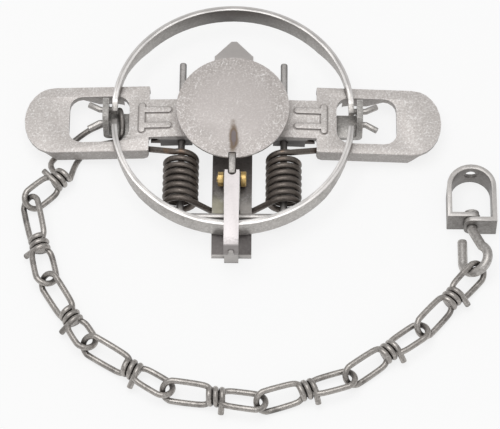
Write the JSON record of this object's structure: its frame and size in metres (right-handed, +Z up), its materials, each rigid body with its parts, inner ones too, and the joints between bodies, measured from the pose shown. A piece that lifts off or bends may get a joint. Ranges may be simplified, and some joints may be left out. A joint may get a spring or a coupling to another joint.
{
  "type": "coil spring trap",
  "caption": "Steel trap in its set position: ring of hinged jaws on a base bar, coil springs with pressed levers, round trigger pan, dog, and a chain with a swivel.",
  "frame": {"origin": "middle of the underside of the cross frame's front foot, on the ground", "axes": "+X to the right along the levers, +Y from the dog to the rear jaw, +Z up from the ground"},
  "size_m": [0.2552, 0.2446, 0.0294],
  "materials": {
    "zinc_bar": "dull zinc plate with scuffed edges",
    "dark_steel": "dark mottled mill steel, worn at the edges",
    "rivet_steel": "dull steel",
    "rod_steel": "drawn round steel, greyish brown",
    "spring_wire": "oil-tempered spring wire, dark brown",
    "galvanised_sheet": "galvanised sheet, warm light grey, finely speckled",
    "bright_band": "bright zinc plated band",
    "bright_strip": "bright plated strip",
    "shank_steel": "plated steel with a brown weld tint by the pan",
    "yellow_zinc": "yellow zinc plated steel",
    "chain_wire": "zinc plated wire, mid grey",
    "swivel_steel": "plated steel, mid grey"
  },
  "bodies": {
    "trap_frame": {"base_bar": "zinc_bar", "cross_frame": "dark_steel", "rivet_left": "rivet_steel", "rivet_right": "rivet_steel", "right_bracket": "dark_steel", "left_bracket": "dark_steel", "spring_rod": "rod_steel", "right_spring": "spring_wire", "left_spring": "spring_wire", "pan_bracket": "zinc_bar", "pan_bolt": "yellow_zinc", "pan_nut": "yellow_zinc", "chain_link_1": "chain_wire"},
    "front_jaw": {"front_jaw": "bright_band"},
    "rear_jaw": {"rear_jaw": "bright_band"},
    "right_lever": {"right_lever": "galvanised_sheet"},
    "left_lever": {"left_lever": "galvanised_sheet"},
    "dog": {"dog": "bright_strip"},
    "pan": {"pan": "galvanised_sheet", "pan_shank": "shank_steel"},
    "chain_link_2": {"chain_link_2": "chain_wire"},
    "chain_link_3": {"chain_link_3": "chain_wire"},
    "chain_link_4": {"chain_link_4": "chain_wire"},
    "chain_link_5": {"chain_link_5": "chain_wire"},
    "chain_link_6": {"chain_link_6": "chain_wire"},
    "chain_link_7": {"chain_link_7": "chain_wire"},
    "chain_link_8": {"chain_link_8": "chain_wire"},
    "swivel_hook": {"swivel_hook": "swivel_steel"},
    "swivel_clevis": {"swivel_clevis": "swivel_steel"}
  },
  "joints": [
    {"name": "front_jaw_hinge", "type": "hinge", "parent": "trap_frame", "child": "front_jaw", "pos_m": [0, 0.0721, 0.0166], "axis": [-1, 0, 0], "range_deg": [0, 80]},
    {"name": "rear_jaw_hinge", "type": "hinge", "parent": "trap_frame", "child": "rear_jaw", "pos_m": [0, 0.0805, 0.0166], "axis": [1, 0, 0], "range_deg": [0, 80]},
    {"name": "right_lever_hinge", "type": "hinge", "parent": "trap_frame", "child": "right_lever", "pos_m": [0.0277, 0.0763, 0.0104], "axis": [0, -1, 0], "range_deg": [0, 23.2], "deforming": ["right_spring"]},
    {"name": "left_lever_hinge", "type": "hinge", "parent": "trap_frame", "child": "left_lever", "pos_m": [-0.0277, 0.0763, 0.0104], "axis": [0, 1, 0], "range_deg": [0, 23.2], "deforming": ["left_spring"]},
    {"name": "dog_hinge", "type": "hinge", "parent": "trap_frame", "child": "dog", "pos_m": [0, -0.0082, 0.018], "axis": [1, 0, 0], "range_deg": [0, 196]},
    {"name": "pan_hinge", "type": "hinge", "parent": "trap_frame", "child": "pan", "pos_m": [0, 0.0388, 0.014], "axis": [-1, 0, 0], "range_deg": [0, 10]},
    {"name": "chain_link_2_swing", "type": "hinge", "parent": "trap_frame", "child": "chain_link_2", "pos_m": [-0.1086, 0.0282, 0.0064], "axis": [0, 0, 1], "range_deg": [-12, 2]},
    {"name": "chain_link_3_swing", "type": "hinge", "parent": "chain_link_2", "child": "chain_link_3", "pos_m": [-0.0975, -0.0197, 0.0064], "axis": [0, 0, 1], "range_deg": [-12, 2]},
    {"name": "chain_link_4_swing", "type": "hinge", "parent": "chain_link_3", "child": "chain_link_4", "pos_m": [-0.0745, -0.0579, 0.0064], "axis": [0, 0, 1], "range_deg": [-12, 2]},
    {"name": "chain_link_5_swing", "type": "hinge", "parent": "chain_link_4", "child": "chain_link_5", "pos_m": [-0.0324, -0.0849, 0.0064], "axis": [0, 0, 1], "range_deg": [-12, 2]},
    {"name": "chain_link_6_swing", "type": "hinge", "parent": "chain_link_5", "child": "chain_link_6", "pos_m": [0.0165, -0.0918, 0.0064], "axis": [0, 0, 1], "range_deg": [-12, 2]},
    {"name": "chain_link_7_swing", "type": "hinge", "parent": "chain_link_6", "child": "chain_link_7", "pos_m": [0.0629, -0.0767, 0.0064], "axis": [0, 0, 1], "range_deg": [-12, 2]},
    {"name": "chain_link_8_swing", "type": "hinge", "parent": "chain_link_7", "child": "chain_link_8", "pos_m": [0.1009, -0.0479, 0.0064], "axis": [0, 0, 1], "range_deg": [-12, 2]},
    {"name": "hook_swing", "type": "hinge", "parent": "chain_link_8", "child": "swivel_hook", "pos_m": [0.1292, -0.0143, 0.0064], "axis": [0, 0, 1], "range_deg": [-12, 6]},
    {"name": "clevis_swivel", "type": "hinge", "parent": "swivel_hook", "child": "swivel_clevis", "pos_m": [0.1286, 0.0163, 0.0076], "axis": [0, 1, 0], "continuous": true}
  ],
  "couplings": [
    {"joint": "rear_jaw_hinge", "follows": "front_jaw_hinge", "ratio": 1},
    {"joint": "right_lever_hinge", "follows": "front_jaw_hinge", "ratio": 0.29},
    {"joint": "left_lever_hinge", "follows": "front_jaw_hinge", "ratio": 0.29},
    {"joint": "dog_hinge", "follows": "front_jaw_hinge", "ratio": 2.45}
  ]
}
